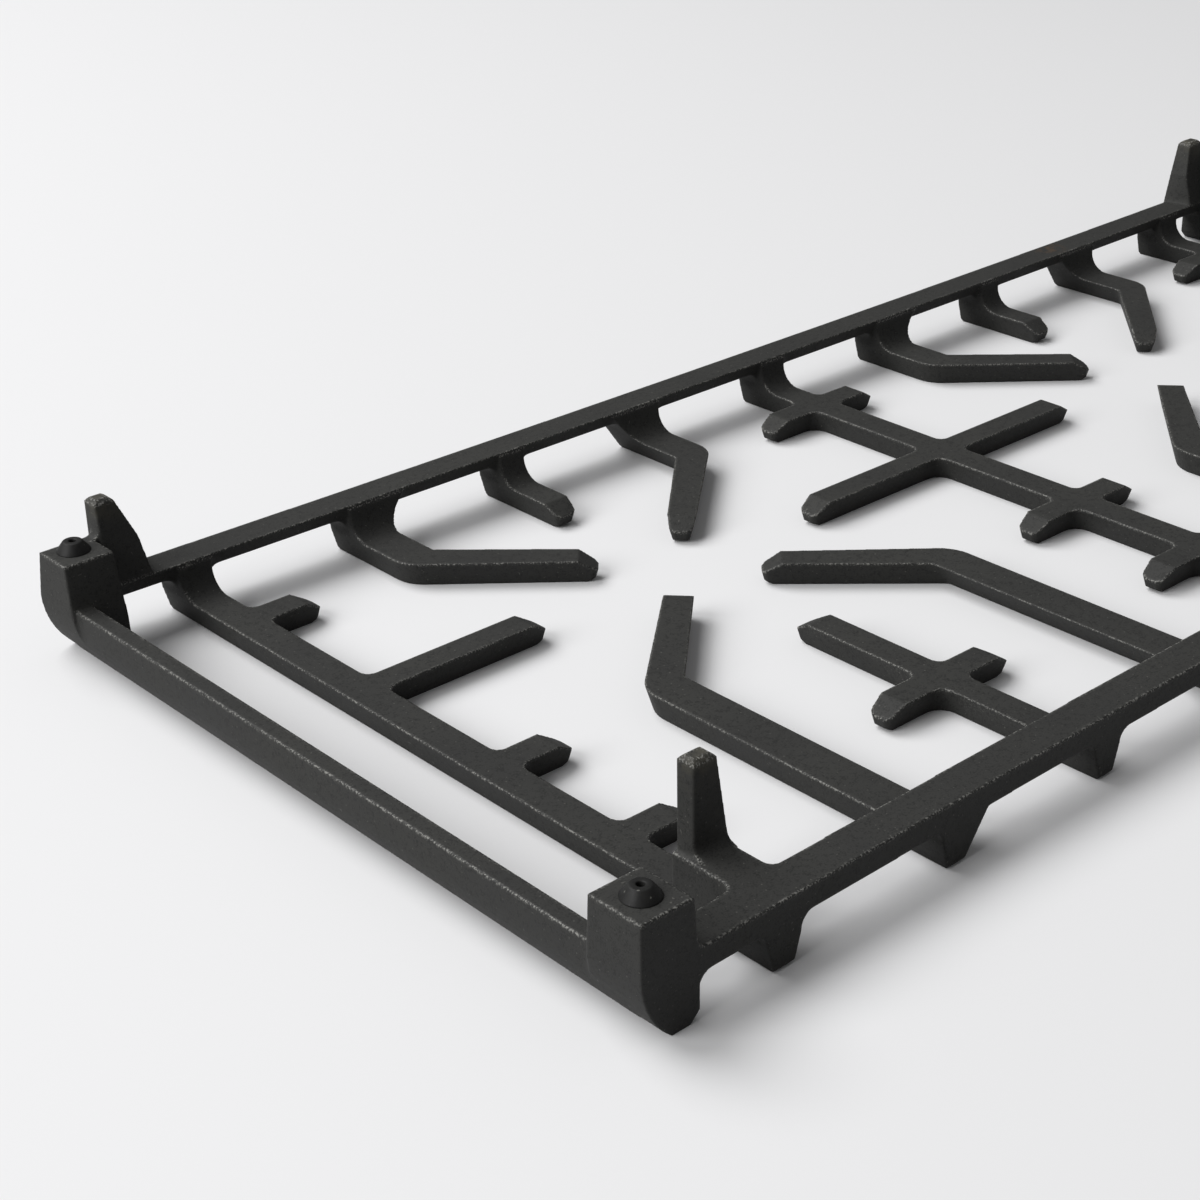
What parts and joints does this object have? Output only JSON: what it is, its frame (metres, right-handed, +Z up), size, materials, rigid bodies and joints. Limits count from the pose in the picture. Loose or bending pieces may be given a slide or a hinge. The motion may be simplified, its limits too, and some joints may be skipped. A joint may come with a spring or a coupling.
{
  "type": "stove grate",
  "caption": "Cast stove grate with side rails, straight and bent pan fingers, corner blocks on rubber feet and locating pegs; lies pan side down.",
  "frame": {"origin": "middle of the centre bar, on the pan plane", "axes": "+X along the side rails toward the right end, +Y across toward the rail with the flush pegs, +Z up from the pan plane toward the feet"},
  "size_m": [0.4774, 0.215, 0.0376],
  "materials": {
    "cast_iron": "sand-cast, matt black, edges worn bright",
    "foot_rubber": "matt moulded"
  },
  "bodies": {
    "root": {"grate_casting": "cast_iron", "foot_far_left": "foot_rubber", "foot_far_right": "foot_rubber", "foot_near_left": "foot_rubber", "foot_near_right": "foot_rubber"}
  },
  "joints": []
}
